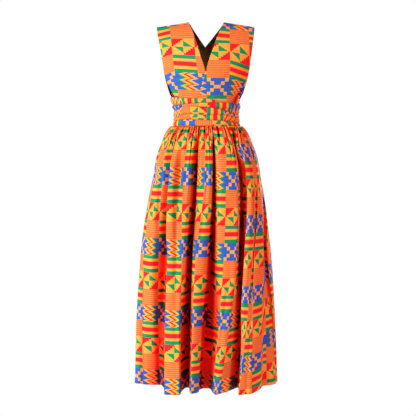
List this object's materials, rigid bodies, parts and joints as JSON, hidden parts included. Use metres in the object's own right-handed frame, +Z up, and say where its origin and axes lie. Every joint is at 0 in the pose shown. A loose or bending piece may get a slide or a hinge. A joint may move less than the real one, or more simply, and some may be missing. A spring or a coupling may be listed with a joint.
{
  "type": "kente-print wax cotton maxi dress",
  "caption": "Sleeveless printed-cotton maxi dress with a V neck front and back, straps wound round the waist and a long gathered skirt, in its hollow worn form.",
  "frame": {"origin": "on the centre line at shoulder level, where the wearer's shoulders hold the dress", "axes": "+Z up, the front of the dress faces -Y, +X is the wearer's left"},
  "size_m": [0.5433, 0.363, 1.3847],
  "materials": {
    "skirt_front": "matte printed cotton",
    "skirt_back": "matte printed cotton",
    "waistband": "matte printed cotton",
    "strap_left": "matte printed cotton",
    "strap_right": "matte printed cotton",
    "wrap_1": "matte printed cotton",
    "wrap_2": "matte printed cotton",
    "wrap_3": "matte printed cotton",
    "wrap_4": "matte printed cotton",
    "wrap_5": "matte printed cotton"
  },
  "bodies": {
    "root": {"skirt_front": "skirt_front", "skirt_back": "skirt_back", "waistband": "waistband", "strap_left": "strap_left", "strap_right": "strap_right", "wrap_1": "wrap_1", "wrap_2": "wrap_2", "wrap_3": "wrap_3", "wrap_4": "wrap_4", "wrap_5": "wrap_5"}
  },
  "joints": []
}
